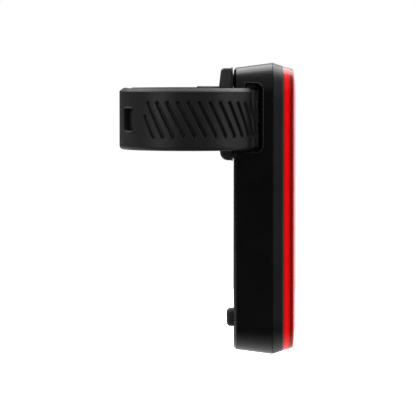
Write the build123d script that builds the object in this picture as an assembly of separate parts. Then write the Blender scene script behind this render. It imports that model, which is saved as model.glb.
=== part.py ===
"""Bicycle rear light: a long oval lamp on a rubber strap that goes round the seat post.

Millimetres. +X points out of the lens, to the rear of the bicycle. +Y points to the lamp's far flank.
+Z is up, along the seat post. The origin is on the post's axis, level with the middle of the strap.
"""
import os
from math import acos, asin, cos, degrees, radians, sin, sqrt

from build123d import *

# Seat post and overall lamp
post_diameter = 27.2
seat_clearance = 0.1
case_height = 101.65
case_width = 24.8
case_top_z = 19.25
back_x = 18.9
case_depth = 13.4
bezel_depth = 3.5
lens_depth = 4.6

# Case walls
wall = 1.8
back_inset = 1.75
back_chamfer = 0.8
bezel_inset = 1.15
parting_chamfer = 0.15
cut_overrun = 1.0

# Gasket in the rim
gasket_width = 0.8
gasket_depth = 0.8
gasket_side_gap = 0.05

# Bezel and lens
bezel_lip_wall = 1.85
flange_reach = 5.2
flange_thickness = 1.6
seam_gap = 0.08
lens_root_inset = 1.25
lens_edge_inset = 2.1
lens_wall = 1.6
lens_step = 0.15
lens_step_width = 0.75
lens_edge_radius = 0.6
lens_dome = 0.8
skirt_wall = 1.2
skirt_gap = 0.1

# Slot for the strap, through both flanks
slot_front_gap = 1.0
slot_rear_gap = 0.91
slot_upper_gap = 1.85
slot_lower_gap = 0.85
slot_board_gap = 0.6
slot_rear_radius = 2.4
slot_front_radius = 1.0
rib_width = 8.0
rib_gap = 0.1
tunnel_wall = 1.5

# Case screws, their inserts and bosses
case_screw_inset = 4.65
case_screw_angle = 42.1
boss_radius = 2.2
insert_radius = 1.5
insert_length = 3.2
insert_gap = 0.02
screw_radius = 0.95
screw_end_gap = 0.3
screw_head_radius = 1.6
screw_lug_radius = 2.4
screw_head_height = 1.1
socket_across = 1.3
socket_depth = 0.6

# Circuit board and light sources
board_thickness = 1.0
board_front_gap = 0.3
board_side_gap = 0.3
ledge_reach = 1.3
ledge_length = 6.0
ledge_depth = 3.0
ledge_height_shares = (0.41, 0.75)
led_rows = 9
led_columns = 2
led_end_inset = 2.25
led_size = 3.0
led_cup_gap = 0.3
led_height = 0.8
led_dome_share = 0.36

# Reflector tray and light guide
tray_side_gap = 0.2
tray_depth = 3.4
cup_wall = 0.7
guide_thickness = 1.2
guide_overhang = 0.6
guide_gap = 0.1
pillow_inset = 0.4
pillow_slope = 0.9
pillow_height = 0.7

# Battery
battery_tunnel_gap = 5.4
battery_side_gap = 0.85
battery_thickness = 8.4
battery_back_gap = 0.4
battery_edge_radius = 2.4
lead_diameter = 0.9
lead_spacing = 2.0
lead_drop = 2.9
lead_bend_radius = 1.3

# Parts on the back of the board
socket_width = 9.0
socket_height = 3.3
socket_length = 10.6
socket_shell_wall = 0.3
socket_corner_radius = 1.5
socket_tongue_height = 0.7
socket_tongue_width = 6.7
socket_floor = 3.2
socket_from_bottom = 24.4
switch_size = 5.2
switch_height = 3.4
switch_plunger_radius = 1.2
switch_plunger_height = 0.6
connector_width = 5.0
connector_height = 3.0
connector_length = 2.9
connector_socket_gap = 2.4
chip_size = 4.0
chip_height = 0.9
coil_radius = 2.0
coil_height = 2.0
capacitor_length = 1.6
capacitor_width = 0.9
capacitor_pitch = 2.2
capacitor_count = 3

# Power button
button_width = 11.0
button_height = 5.9
button_stand_out = 2.5
button_corner_radius = 2.4
button_edge_radius = 1.4
button_dish_radius = 24.0
button_dish_depth = 0.25
button_from_bottom = 13.0
button_gap = 0.15
button_travel = 0.5
button_flange_reach = 0.8
button_flange_thickness = 0.8
stem_radius = 1.6
stem_set_in = 2.2
stem_collar_radius = 2.6
stem_collar_thickness = 0.8
stem_free_play = 0.05

# Port cover
cover_width = 12.4
cover_height = 7.6
cover_thickness = 1.1
cover_corner_radius = 1.8
cover_gap = 0.15
plug_height = 2.7
plug_width = 8.0
plug_depth = 0.6
plug_corner_radius = 1.1
port_hole_gap = 0.25
anchor_height = 2.2
anchor_pip_radius = 0.7
anchor_pip_spacing = 7.0
thumb_scoop_radius = 1.6
thumb_scoop_depth = 0.7

# Saddle between the post and the lamp
plate_thickness = 0.7
plate_stand_off = 0.35
plate_width = 18.0
plate_from_top = 1.55
plate_height = 32.45
plate_corner_radius = 5.0
plate_edge_chamfer = 0.25
plate_screw_from_top = 4.5
plate_screw_from_bottom = 2.95
plate_boss_radius = 2.4
plate_screw_radius = 0.9
plate_screw_end_wall = 0.65
plate_head_radius = 1.7
plate_head_height = 0.8
plate_hole_gap = 0.1
head_pocket_gap = 0.25
pad_width = 17.0
pad_inset = 0.3
pad_top_front_x = 14.5
pad_front_x = 13.75
pad_bottom_front_x = 15.0
pad_upper_corner_radius = 1.4
pad_lower_corner_radius = 2.8
wing_tip_x = 6.0
wing_centre_x = 3.0
wing_radius = 14.0
wing_height = 21.7
wing_z = 0.2

# Strap, as a ring with its own centre line
strap_radius = 24.4
strap_thickness = 2.0
strap_width = 21.3
strap_z = -0.1
strap_edge_radius = 1.5
tip_corner_radius = 3.5
hinge_inset = 0.757
hinge_gap = 0.15
arm_end_angle = -112.0
tongue_end_angle = -48.0
tongue_width = 17.0
tongue_edge_radius = 0.8
tongue_thickness = 1.6
tongue_gap = 0.1
closure_gap = 0.3
step_run = 2.2
groove_pitch_angle = 8.72
groove_first_angle = -28.5
groove_last_angle = 213.0
groove_slant_angle = 13.6
groove_height = 11.3
groove_width = 1.3
groove_depth = 0.5
groove_z = -0.3
short_groove_share = 0.52
window_middle_angle = -60.5
window_z = -0.25
window_length = 6.4
window_height = 7.6
window_corner_radius = 1.1
window_chamfer = 0.35
stud_length = 2.5
stud_height = 6.3
stud_rise = 0.95
stud_gap = 0.3
stud_corner_radius = 0.8

# Places that follow from the sizes above
post_radius = post_diameter / 2
seat_radius = post_radius + seat_clearance
crease_radius = case_width / 2
back_half_width = crease_radius - back_inset
crease_x = back_x + case_depth
bezel_front_x = crease_x + bezel_depth
lens_front_x = bezel_front_x + lens_depth
spine_top_z = case_top_z - crease_radius
spine_length = case_height - case_width
spine_bottom_z = spine_top_z - spine_length
case_middle_z = case_top_z - case_height / 2
case_bottom_z = case_top_z - case_height
inner_back_x = back_x + wall
flange_front_x = crease_x + flange_thickness
board_front_x = crease_x - board_front_gap
board_back_x = board_front_x - board_thickness
tray_front_x = board_front_x + tray_depth
tray_radius = crease_radius - flange_reach - tray_side_gap
led_column_pitch = 2 * tray_radius / led_columns
led_row_pitch = (spine_length - 2 * led_end_inset) / (led_rows - 1)
cup_mouth = led_column_pitch - 2 * cup_wall
cup_floor = led_size + 2 * led_cup_gap
strap_inner_radius = strap_radius - strap_thickness
strap_bulge = strap_inner_radius - sqrt(strap_inner_radius**2 - back_half_width**2)
slot_width = slot_front_gap + strap_thickness + strap_bulge + slot_rear_gap
slot_height = strap_width + slot_upper_gap + slot_lower_gap
slot_front_x = board_back_x - slot_board_gap - tunnel_wall
slot_back_x = slot_front_x - slot_width
slot_x = slot_front_x - slot_width / 2
slot_z = strap_z + (slot_upper_gap - slot_lower_gap) / 2
strap_centre_x = slot_front_x - slot_front_gap - strap_radius
hinge_angle = degrees(acos((crease_radius - hinge_inset) / strap_radius))
hinge_gap_angle = degrees(hinge_gap / strap_radius)
tongue_outer_radius = strap_inner_radius - tongue_gap
tongue_inner_radius = tongue_outer_radius - tongue_thickness
button_z = case_bottom_z + button_from_bottom
socket_z = case_bottom_z + socket_from_bottom
socket_mouth_x = board_back_x - socket_length
cover_top_z = socket_z + cover_height / 2
connector_z = socket_z + socket_height / 2 + connector_socket_gap + connector_length / 2
battery_bottom_z = connector_z + lead_drop
battery_top_z = slot_z - slot_height / 2 - tunnel_wall - battery_tunnel_gap
battery_length = battery_top_z - battery_bottom_z
battery_width = 2 * (back_half_width - wall - battery_side_gap)
plate_front_x = back_x - plate_stand_off - plate_thickness
plate_top_z = case_top_z - plate_from_top
plate_screw_length = slot_back_x - plate_screw_end_wall - plate_front_x


def case_radius(x):
    """Distance from the case's spine to the tapered outside of the rear housing at x."""
    return crease_radius - back_inset * (crease_x - x) / case_depth


def section(*points):
    """Closed face through the points, each an x and a distance from the spine."""
    return make_face(Polyline(*points, close=True))


def along_oval(profile):
    """Solid that carries a section round the case's long oval: two half turns and two straight sides."""
    half_turn = revolve(profile, axis=Axis.X, revolution_arc=180)
    side = extrude(Pos(0, 0, spine_bottom_z) * profile, amount=spine_length, dir=(0, 0, 1))
    upper = Pos(0, 0, spine_top_z) * half_turn
    lower = Pos(0, 0, spine_bottom_z) * Rot(180, 0, 0) * half_turn
    return upper + side + lower + mirror(side, Plane.XZ)


def oval_plate(x_from, thickness, radius):
    """Flat plate in the case's oval shape, square to X."""
    x_to = x_from + thickness
    return along_oval(section((x_from, 0), (x_from, radius), (x_to, radius), (x_to, 0)))


def rod_x(x_from, x_to, radius, y, z):
    """Round bar along X between two places."""
    plane = Plane(origin=(x_from, y, z), x_dir=(0, 1, 0), z_dir=(1, 0, 0))
    return extrude(plane * Circle(radius), amount=x_to - x_from)


def block_x(x_from, x_to, width, height, y, z, corner=0):
    """Bar along X with a rectangle as its section: width along Y, height along Z, rounded corners."""
    plane = Plane(origin=(x_from, y, z), x_dir=(0, 1, 0), z_dir=(1, 0, 0))
    shape = RectangleRounded(width, height, corner) if corner else Rectangle(width, height)
    return extrude(plane * shape, amount=x_to - x_from)


def case_screw_places():
    """Y and Z of the four case screws, two near each end of the oval."""
    radius = crease_radius - case_screw_inset
    y = radius * sin(radians(case_screw_angle))
    rise = radius * cos(radians(case_screw_angle))
    return [(side * y, z) for z in (spine_top_z + rise, spine_bottom_z - rise) for side in (-1, 1)]


def plate_screw_places():
    """Z of the two saddle screws on the middle line."""
    return [plate_top_z - plate_screw_from_top, plate_top_z - plate_height + plate_screw_from_bottom]


def led_places():
    """Y and Z of each light source."""
    rows = [case_middle_z + (row - (led_rows - 1) / 2) * led_row_pitch for row in range(led_rows)]
    columns = [(column - (led_columns - 1) / 2) * led_column_pitch for column in range(led_columns)]
    return [(y, z) for z in rows for y in columns]


def strap_slot(grow, depth):
    """Bar along Y with the slot's section, grown all round: its corners are rounder towards the lens."""
    plane = Plane(origin=(slot_x, 0, slot_z), x_dir=(0, 0, 1), z_dir=(0, 1, 0))
    shape = Rectangle(slot_height + 2 * grow, slot_width + 2 * grow)
    shape = fillet(shape.vertices().sort_by(Axis.Y)[-2:], slot_rear_radius + grow)
    shape = fillet(shape.vertices().sort_by(Axis.Y)[:2], slot_front_radius + grow)
    return extrude(plane * shape, amount=depth, both=True)


def strap_opening():
    """Wide mouth from each flank for the strap, and a rib between them that fits round the strap."""
    middle = Box(2 * slot_width, rib_width, 2 * slot_height)
    mouths = strap_slot(0, crease_radius + cut_overrun) - Pos(slot_x, 0, slot_z) * middle
    reach = degrees(asin(rib_width / strap_inner_radius))
    fit = strap_band(strap_inner_radius - rib_gap, strap_radius + rib_gap, strap_width + 2 * rib_gap,
                     strap_edge_radius, 90 - reach, 90 + reach)
    return mouths + fit


def rear_shell():
    """Tapered open shell with a bevelled back edge and a gasket groove in its rim."""
    bevel_x = back_x + back_chamfer
    rim_outer = case_radius(crease_x)
    groove_outer = rim_outer - (wall - gasket_width) / 2 + gasket_side_gap
    groove_inner = groove_outer - gasket_width - 2 * gasket_side_gap
    return along_oval(section(
        (back_x, 0),
        (back_x, case_radius(back_x) - back_chamfer),
        (bevel_x, case_radius(bevel_x)),
        (crease_x - parting_chamfer, case_radius(crease_x - parting_chamfer)),
        (crease_x, rim_outer - parting_chamfer),
        (crease_x, groove_outer),
        (crease_x - gasket_depth, groove_outer),
        (crease_x - gasket_depth, groove_inner),
        (crease_x, groove_inner),
        (crease_x, rim_outer - wall),
        (inner_back_x, case_radius(inner_back_x) - wall),
        (inner_back_x, 0),
    ))


def case_core():
    """Full solid up to the middle of the rear housing's walls, to trim what is added inside."""
    return along_oval(section(
        (back_x + wall / 2, 0),
        (back_x + wall / 2, case_radius(back_x) - wall / 2),
        (crease_x, crease_radius - wall / 2),
        (crease_x, 0),
    ))


def make_rear_housing():
    """Rear shell with the strap tunnel, screw bosses, board ledges, button hole and port."""
    inner_pieces = [strap_slot(tunnel_wall, crease_radius)]
    for y, z in case_screw_places():
        inner_pieces.append(rod_x(back_x, crease_x, boss_radius, y, z))
    for share in ledge_height_shares:
        z = spine_top_z - share * spine_length
        for side in (-1, 1):
            y = side * (case_radius(board_back_x) - wall / 2 - ledge_reach / 2)
            inner_pieces.append(block_x(board_back_x - ledge_depth, board_back_x, ledge_reach + wall,
                                        ledge_length, y, z))
    inner_pieces.append(block_x(back_x, inner_back_x + wall / 2, socket_width + 2 * wall,
                                socket_height + 2 * wall, 0, socket_z, wall))
    housing = rear_shell()
    core = case_core()
    for piece in inner_pieces:
        housing += piece & core
    for z in plate_screw_places():
        housing += rod_x(back_x - plate_stand_off, slot_back_x + wall, plate_boss_radius, 0, z)
    housing -= strap_opening()
    for y, z in case_screw_places():
        housing -= rod_x(crease_x - insert_length, crease_x + cut_overrun, insert_radius + insert_gap, y, z)
    for z in plate_screw_places():
        depth_x = plate_front_x + plate_screw_length
        housing -= rod_x(back_x - cut_overrun, depth_x, plate_screw_radius + insert_gap, 0, z)
    housing -= block_x(back_x - cut_overrun, inner_back_x + cut_overrun, button_width + 2 * button_gap,
                       button_height + 2 * button_gap, 0, button_z, button_corner_radius + button_gap)
    housing -= block_x(back_x - cut_overrun, inner_back_x + wall, socket_width + 2 * port_hole_gap,
                       socket_height + 2 * port_hole_gap, 0, socket_z, socket_height / 2)
    recess_top = cover_top_z + cover_gap + anchor_height + cover_gap
    recess_bottom = socket_z - cover_height / 2 - cover_gap
    housing -= block_x(back_x - cut_overrun, back_x + cover_thickness, cover_width + 2 * cover_gap,
                       recess_top - recess_bottom, 0, (recess_top + recess_bottom) / 2, cover_corner_radius)
    housing -= rod_x(back_x - cut_overrun, back_x + thumb_scoop_depth, thumb_scoop_radius, 0, recess_bottom)
    for side in (-1, 1):
        housing -= rod_x(back_x, inner_back_x - insert_gap, anchor_pip_radius + insert_gap,
                         side * anchor_pip_spacing / 2, cover_top_z + cover_gap + anchor_height / 2)
    return housing


def hexagon():
    """Outline of the screws' hexagon socket, by its size across the flats."""
    return RegularPolygon(socket_across / 2, 6, major_radius=False)


def make_front_bezel():
    """Ring between the rear housing and the lens, with an inner flange that takes the case screws."""
    lip_inner = crease_radius - bezel_inset - bezel_lip_wall
    flange_inner = crease_radius - flange_reach
    bezel = along_oval(section(
        (crease_x, crease_radius - parting_chamfer),
        (crease_x + parting_chamfer, crease_radius),
        (bezel_front_x, crease_radius - bezel_inset),
        (bezel_front_x, lip_inner),
        (flange_front_x, lip_inner),
        (flange_front_x, flange_inner),
        (crease_x, flange_inner),
    ))
    for y, z in case_screw_places():
        bezel += rod_x(crease_x, flange_front_x, screw_lug_radius, y, z)
        bezel -= rod_x(crease_x - cut_overrun, flange_front_x, screw_radius + insert_gap, y, z)
        bezel -= screw_cone(y, z, insert_gap)
    return bezel


def screw_cone(y, z, grow):
    """Countersunk head of a case screw, flush with the bezel's flange."""
    plane = Plane(origin=(flange_front_x, y, z), x_dir=(0, 1, 0), z_dir=(-1, 0, 0))
    mouth = plane * Circle(screw_head_radius + grow)
    neck = plane.offset(screw_head_height) * Circle(screw_radius + grow)
    return loft([mouth.face(), neck.face()], ruled=True)


def make_housing_gasket():
    """Seal that fills the groove in the rear housing's rim."""
    outer = crease_radius - (wall - gasket_width) / 2
    inner = outer - gasket_width
    floor_x = crease_x - gasket_depth
    return along_oval(section((floor_x, inner), (floor_x, outer), (crease_x, outer), (crease_x, inner)))


def make_lens():
    """Red cap with sloping sides, a stepped edge band, a domed front and a skirt inside the bezel."""
    seam_x = bezel_front_x + seam_gap
    skirt_x = flange_front_x + seam_gap
    skirt_outer = crease_radius - bezel_inset - bezel_lip_wall - skirt_gap
    skirt_inner = skirt_outer - skirt_wall
    root = crease_radius - lens_root_inset
    edge = crease_radius - lens_edge_inset
    edge_x = lens_front_x - lens_dome - lens_edge_radius
    step_x = edge_x - lens_step_width
    step_radius = edge + (root - edge) * (edge_x - step_x) / (edge_x - seam_x)
    rim = edge - lens_edge_radius
    rim_x = lens_front_x - lens_dome
    side = Polyline(
        (lens_front_x - lens_wall, 0),
        (lens_front_x, 0),
    )
    front = ThreePointArc((lens_front_x, 0), (lens_front_x - lens_dome / 4, rim / 2), (rim_x, rim))
    shoulder = CenterArc((edge_x, rim), lens_edge_radius, 0, 90)
    outside = Polyline(
        (edge_x, edge),
        (step_x, step_radius),
        (step_x, step_radius + lens_step),
        (seam_x, root),
        (seam_x, skirt_outer),
        (skirt_x, skirt_outer),
        (skirt_x, skirt_inner),
        (rim_x - lens_wall, skirt_inner),
    )
    inner_front = ThreePointArc(
        (rim_x - lens_wall, skirt_inner),
        (lens_front_x - lens_wall - lens_dome / 4, skirt_inner / 2),
        (lens_front_x - lens_wall, 0),
    )
    return along_oval(make_face(side.edges() + front.edges() + shoulder.edges() + outside.edges()
                                + inner_front.edges()))


def make_case_screws():
    """Four countersunk screws with a hexagon socket."""
    screws = Part()
    for y, z in case_screw_places():
        shank = rod_x(crease_x - insert_length + screw_end_gap, flange_front_x - screw_head_height,
                      screw_radius, y, z)
        plane = Plane(origin=(flange_front_x, y, z), x_dir=(0, 1, 0), z_dir=(-1, 0, 0))
        socket = extrude(plane * hexagon(), amount=socket_depth)
        screws += shank + screw_cone(y, z, 0) - socket
    return screws


def make_threaded_inserts():
    """Four brass bushes in the bosses of the rear housing."""
    inserts = Part()
    for y, z in case_screw_places():
        bush = rod_x(crease_x - insert_length, crease_x, insert_radius, y, z)
        inserts += bush - rod_x(crease_x - insert_length, crease_x, screw_radius + insert_gap, y, z)
    return inserts


def make_led_board():
    """Oval board that rests on the housing's ledges and clears the screw bosses."""
    radius = case_radius(board_back_x) - wall - board_side_gap
    board = oval_plate(board_back_x, board_thickness, radius)
    for y, z in case_screw_places():
        board -= rod_x(board_back_x - cut_overrun, crease_x, boss_radius + board_side_gap, y, z)
    return board


def make_leds():
    """Square light sources with a low round dome."""
    leds = Part()
    for y, z in led_places():
        body = block_x(board_front_x, board_front_x + led_height / 2, led_size, led_size, y, z)
        dome = rod_x(board_front_x + led_height / 2, board_front_x + led_height, led_dome_share * led_size,
                     y, z)
        leds += body + dome
    return leds


def make_reflector_tray():
    """White tray with a flared cup round each light source."""
    tray = oval_plate(board_front_x, tray_depth, tray_radius)
    for y, z in led_places():
        plane = Plane(origin=(board_front_x, y, z), x_dir=(0, 1, 0), z_dir=(1, 0, 0))
        floor = plane * Rectangle(cup_floor, cup_floor)
        mouth = plane.offset(tray_depth) * Rectangle(cup_mouth, cup_mouth)
        tray -= loft([floor.face(), mouth.face()], ruled=True)
    lug_clearance = screw_lug_radius + tray_side_gap
    for y, z in case_screw_places():
        tray -= rod_x(board_front_x - cut_overrun, tray_front_x + cut_overrun, lug_clearance, y, z)
    return tray


def make_light_guide():
    """Clear plate over the tray, with a round sloping pillow in front of each light source."""
    start_x = tray_front_x + guide_gap
    guide = oval_plate(start_x, guide_thickness, tray_radius + guide_overhang)
    pillow_radius = cup_mouth / 2 - pillow_inset
    for y, z in led_places():
        plane = Plane(origin=(start_x + guide_thickness, y, z), x_dir=(0, 1, 0), z_dir=(1, 0, 0))
        root = plane * Circle(pillow_radius)
        top = plane.offset(pillow_height) * Circle(pillow_radius - pillow_slope)
        guide += loft([root.face(), top.face()], ruled=True)
    return guide


def make_battery_cell():
    """Flat wrapped cell with rounded long edges."""
    x = inner_back_x + battery_back_gap
    cell = block_x(x, x + battery_thickness, battery_width, battery_length, 0,
                   battery_top_z - battery_length / 2)
    return fillet(cell.edges().filter_by(Axis.Z), battery_edge_radius)


def make_battery_foam():
    """Foam pad that holds the cell against the board."""
    x = inner_back_x + battery_back_gap + battery_thickness
    trim = 2 * battery_edge_radius
    return block_x(x, board_back_x, battery_width - trim, battery_length - trim, 0,
                   battery_top_z - battery_length / 2)


def lead_start_x():
    """X of the battery's terminals, in the middle of its thickness."""
    return inner_back_x + battery_back_gap + battery_thickness / 2


def make_battery_leads():
    """Two short insulated wires from the cell's lower end to the connector on the board."""
    leads = Part()
    for side in (-1, 1):
        y = side * lead_spacing / 2
        path = FilletPolyline(
            (lead_start_x(), y, battery_bottom_z),
            (lead_start_x(), y, connector_z),
            (board_back_x - connector_height, y, connector_z),
            radius=lead_bend_radius,
        )
        leads += sweep(Plane(origin=path @ 0, z_dir=path % 0) * Circle(lead_diameter / 2), path=path)
    return leads


def make_board_components():
    """Battery connector, driver chip, coil and capacitors on the back of the board."""
    parts = block_x(board_back_x - connector_height, board_back_x, connector_width, connector_length,
                    0, connector_z)
    row_z = (socket_z - socket_height / 2 + button_z + switch_size / 2) / 2
    parts += block_x(board_back_x - chip_height, board_back_x, chip_size, chip_size,
                     -chip_size, row_z)
    parts += rod_x(board_back_x - coil_height, board_back_x, coil_radius, chip_size, row_z)
    for index in range(capacitor_count):
        z = row_z + (index - (capacitor_count - 1) / 2) * capacitor_pitch
        parts += block_x(board_back_x - chip_height, board_back_x, capacitor_length, capacitor_width, 0, z)
    return parts


def make_usb_socket():
    """Upright charging socket: an oval metal shell with a tongue, standing on the board."""
    body = block_x(socket_mouth_x, board_back_x, socket_width, socket_height, 0, socket_z,
                   socket_corner_radius)
    inner_width = socket_width - 2 * socket_shell_wall
    inner_height = socket_height - 2 * socket_shell_wall
    body -= block_x(socket_mouth_x, board_back_x - socket_floor, inner_width, inner_height, 0, socket_z,
                    socket_corner_radius - socket_shell_wall)
    body += block_x(socket_mouth_x + socket_tongue_height, board_back_x - socket_floor,
                    socket_tongue_width, socket_tongue_height, 0, socket_z)
    return body


def make_tact_switch():
    """Square switch on the board with a round plunger that faces the button."""
    face_x = board_back_x - switch_height
    switch = block_x(face_x, board_back_x, switch_size, switch_size, 0, button_z)
    return switch + rod_x(face_x - switch_plunger_height, face_x, switch_plunger_radius, 0, button_z)


def make_power_button():
    """Rubber button with a dished face, an inner flange that keeps it in, and a bore for its stem."""
    face_x = back_x - button_stand_out
    flange_x = inner_back_x + button_gap
    body = block_x(face_x, flange_x, button_width, button_height, 0, button_z, button_corner_radius)
    body = fillet(body.faces().sort_by(Axis.X)[0].edges(), button_edge_radius)
    body += block_x(flange_x, flange_x + button_flange_thickness, button_width + 2 * button_flange_reach,
                    button_height + 2 * button_flange_reach, 0, button_z,
                    button_corner_radius + button_flange_reach)
    dish = Pos(face_x + button_dish_depth - button_dish_radius, 0, button_z) * Sphere(button_dish_radius)
    bore_x = flange_x + button_flange_thickness
    return body - dish - rod_x(bore_x - stem_set_in, bore_x, stem_radius + insert_gap, 0, button_z)


def make_button_stem():
    """Stiff plunger that is set into the button and reaches to the switch."""
    collar_x = inner_back_x + button_gap + button_flange_thickness
    end_x = board_back_x - switch_height - switch_plunger_height - button_travel - stem_free_play
    stem = rod_x(collar_x - stem_set_in + insert_gap, end_x, stem_radius, 0, button_z)
    return stem + rod_x(collar_x, collar_x + stem_collar_thickness, stem_collar_radius, 0, button_z)


def make_port_cover():
    """Rubber flap flush with the back, with a shallow plug that enters the port."""
    flap = block_x(back_x, back_x + cover_thickness - insert_gap, cover_width, cover_height, 0, socket_z,
                   cover_corner_radius)
    square_top = block_x(back_x, back_x + cover_thickness - insert_gap, cover_width, cover_height / 2, 0,
                         cover_top_z - cover_height / 4)
    plug = block_x(back_x + cover_thickness - insert_gap, back_x + cover_thickness + plug_depth,
                   plug_width, plug_height, 0, socket_z, plug_corner_radius)
    return flap + square_top + plug


def make_port_cover_anchor():
    """Fixed end of the port cover, held by two pips in the housing."""
    z = cover_top_z + cover_gap + anchor_height / 2
    strip = block_x(back_x, back_x + cover_thickness - insert_gap, cover_width, anchor_height, 0, z)
    for side in (-1, 1):
        strip += rod_x(back_x + cover_thickness / 2, inner_back_x - cover_gap, anchor_pip_radius,
                       side * anchor_pip_spacing / 2, z)
    corners = strip.edges().filter_by(Axis.X).sort_by(Axis.Z)[-2:]
    return fillet(corners, cover_corner_radius)


def make_saddle_plate():
    """Thin plate screwed to the lamp's back, with two screw holes and bevelled edges."""
    middle_z = plate_top_z - plate_height / 2
    plate = block_x(plate_front_x, plate_front_x + plate_thickness, plate_width, plate_height, 0, middle_z,
                    plate_corner_radius)
    plate = chamfer(plate.faces().sort_by(Axis.X)[0].edges(), plate_edge_chamfer)
    for z in plate_screw_places():
        plate -= rod_x(plate_front_x - cut_overrun, back_x, plate_screw_radius + plate_hole_gap, 0, z)
    return plate


def make_plate_screws():
    """Two low-head screws that hold the plate to the lamp."""
    screws = Part()
    for z in plate_screw_places():
        head = rod_x(plate_front_x - plate_head_height, plate_front_x, plate_head_radius, 0, z)
        head = chamfer(head.faces().sort_by(Axis.X)[0].edges(), plate_head_height / 3)
        plane = Plane(origin=(plate_front_x - plate_head_height, 0, z), x_dir=(0, 1, 0), z_dir=(1, 0, 0))
        socket = extrude(plane * hexagon(), amount=socket_depth)
        end_x = plate_front_x + plate_screw_length - plate_hole_gap
        shank = rod_x(plate_front_x, end_x, plate_screw_radius, 0, z)
        screws += head - socket + shank
    return screws


def make_saddle_pad():
    """Rubber pad: a block with softened corners, and two wings that cup the seat post."""
    top_z = plate_top_z - pad_inset
    bottom_z = plate_top_z - plate_height + pad_inset
    wing_top_z = wing_z + wing_height / 2
    wing_bottom_z = wing_z - wing_height / 2
    profile = Plane.XZ * make_face(Polyline(
        (plate_front_x, bottom_z),
        (plate_front_x, top_z),
        (pad_top_front_x, top_z),
        (pad_front_x, wing_top_z),
        (pad_front_x, wing_bottom_z),
        (pad_bottom_front_x, bottom_z),
        close=True,
    ))
    block = extrude(profile, amount=pad_width / 2, both=True)
    across = block.edges().filter_by(Axis.Y)
    upper = across.filter_by(lambda edge: edge.center().Z > wing_top_z + pad_inset).sort_by(Axis.X)[0]
    lower = across.filter_by(lambda edge: edge.center().Z < wing_bottom_z - pad_inset).sort_by(Axis.X)[0]
    block = fillet(upper, pad_upper_corner_radius)
    lower = block.edges().filter_by(Axis.Y).filter_by(
        lambda edge: edge.center().Z < wing_bottom_z - pad_inset).sort_by(Axis.X)[0]
    block = fillet(lower, pad_lower_corner_radius)
    wings = Pos(wing_centre_x, 0, wing_z) * Cylinder(wing_radius, wing_height)
    reach = 2 * wing_radius
    keep = Pos(wing_tip_x + reach / 2, 0, wing_z) * Box(reach, 2 * reach, 2 * wing_height)
    pad = block + (wings & keep)
    pad -= Cylinder(seat_radius, 2 * plate_height)
    for z in plate_screw_places():
        pad -= rod_x(plate_front_x - plate_head_height - head_pocket_gap, plate_front_x + cut_overrun,
                     plate_head_radius + head_pocket_gap, 0, z)
    return pad


def strap_band(inner, outer, width, edge_radius, angle_from, angle_to):
    """Part of the ring between two angles, counted from -Y and growing towards the lamp; rounded outside."""
    half = width / 2
    outline = make_face(Polyline((inner, -half), (outer, -half), (outer, half), (inner, half), close=True))
    if edge_radius:
        outline = fillet(outline.vertices().sort_by(Axis.X)[-2:], edge_radius)
    face = Plane.XZ * outline
    turned = Rot(0, 0, angle_from - 90) * face
    band = revolve(turned, axis=Axis.Z, revolution_arc=angle_to - angle_from)
    return Pos(strap_centre_x, 0, strap_z) * band


def radial_plane(angle, radius, z):
    """Plane on the strap at an angle: its x runs round towards the lamp, its y up, its normal outwards."""
    turn = radians(angle)
    origin = (strap_centre_x + radius * sin(turn), -radius * cos(turn), z)
    return Plane(origin=origin, x_dir=(cos(turn), sin(turn), 0), z_dir=(sin(turn), -cos(turn), 0))


def tip_corners(angle, side, width):
    """Cutters that round both corners of a strap's end; side is 1 where the strap runs on past the angle."""
    plane = radial_plane(angle, tongue_inner_radius - strap_thickness, strap_z)
    block = Rectangle(tip_corner_radius, width + 2 * cut_overrun)
    rounding = Rectangle(2 * tip_corner_radius + cut_overrun, width - 2 * tip_corner_radius)
    shape = Pos(side * tip_corner_radius / 2, 0) * block - rounding
    for end in (-1, 1):
        y = end * (width / 2 - tip_corner_radius)
        shape -= Pos(side * tip_corner_radius, y) * Circle(tip_corner_radius)
    return extrude(plane * shape, amount=4 * strap_thickness)


def strap_grooves():
    """Slanted grooves with round ends, each with its floor at an even depth below the strap's outside.

    The one before the first is cut short at its upper end.
    """
    floor_radius = strap_radius - groove_depth
    run = strap_radius * radians(groove_slant_angle)
    slant = sqrt(run**2 + groove_height**2)
    tilt = degrees(asin(groove_height / slant))
    count = int((groove_last_angle - groove_first_angle) / groove_pitch_angle) + 1
    grooves = Part()
    for index in range(-1, count):
        share = short_groove_share if index < 0 else 1
        plane = radial_plane(groove_first_angle + index * groove_pitch_angle, floor_radius - groove_depth,
                             groove_z)
        shape = Pos(slant * (1 - share) / 2, 0) * SlotOverall(slant * share + groove_width, groove_width)
        grooves += extrude(plane * Rot(0, 0, -tilt) * shape, amount=2 * groove_depth + cut_overrun)
    core = Pos(strap_centre_x, 0, strap_z) * Cylinder(floor_radius, strap_width)
    return grooves - core


def window_plane(radius):
    """Plane through the window's middle at a radius."""
    return radial_plane(window_middle_angle, radius, window_z)


def make_strap_near_arm(grooves):
    """Outer arm of the strap: from the near flank round the front, with the window for the stud."""
    arm = strap_band(strap_inner_radius, strap_radius, strap_width, strap_edge_radius, arm_end_angle,
                     hinge_angle)
    arm -= grooves + tip_corners(arm_end_angle, 1, strap_width)
    hole = extrude(window_plane(tongue_inner_radius) * RectangleRounded(window_length, window_height,
                                                                        window_corner_radius),
                   amount=strap_thickness + tongue_thickness + cut_overrun)
    mouth = window_plane(strap_radius - window_chamfer) * RectangleRounded(window_length, window_height,
                                                                           window_corner_radius)
    flare = window_plane(strap_radius + window_chamfer) * RectangleRounded(
        window_length + 4 * window_chamfer, window_height + 4 * window_chamfer,
        window_corner_radius + 2 * window_chamfer)
    return arm - hole - loft([mouth.face(), flare.face()], ruled=True)


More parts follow.
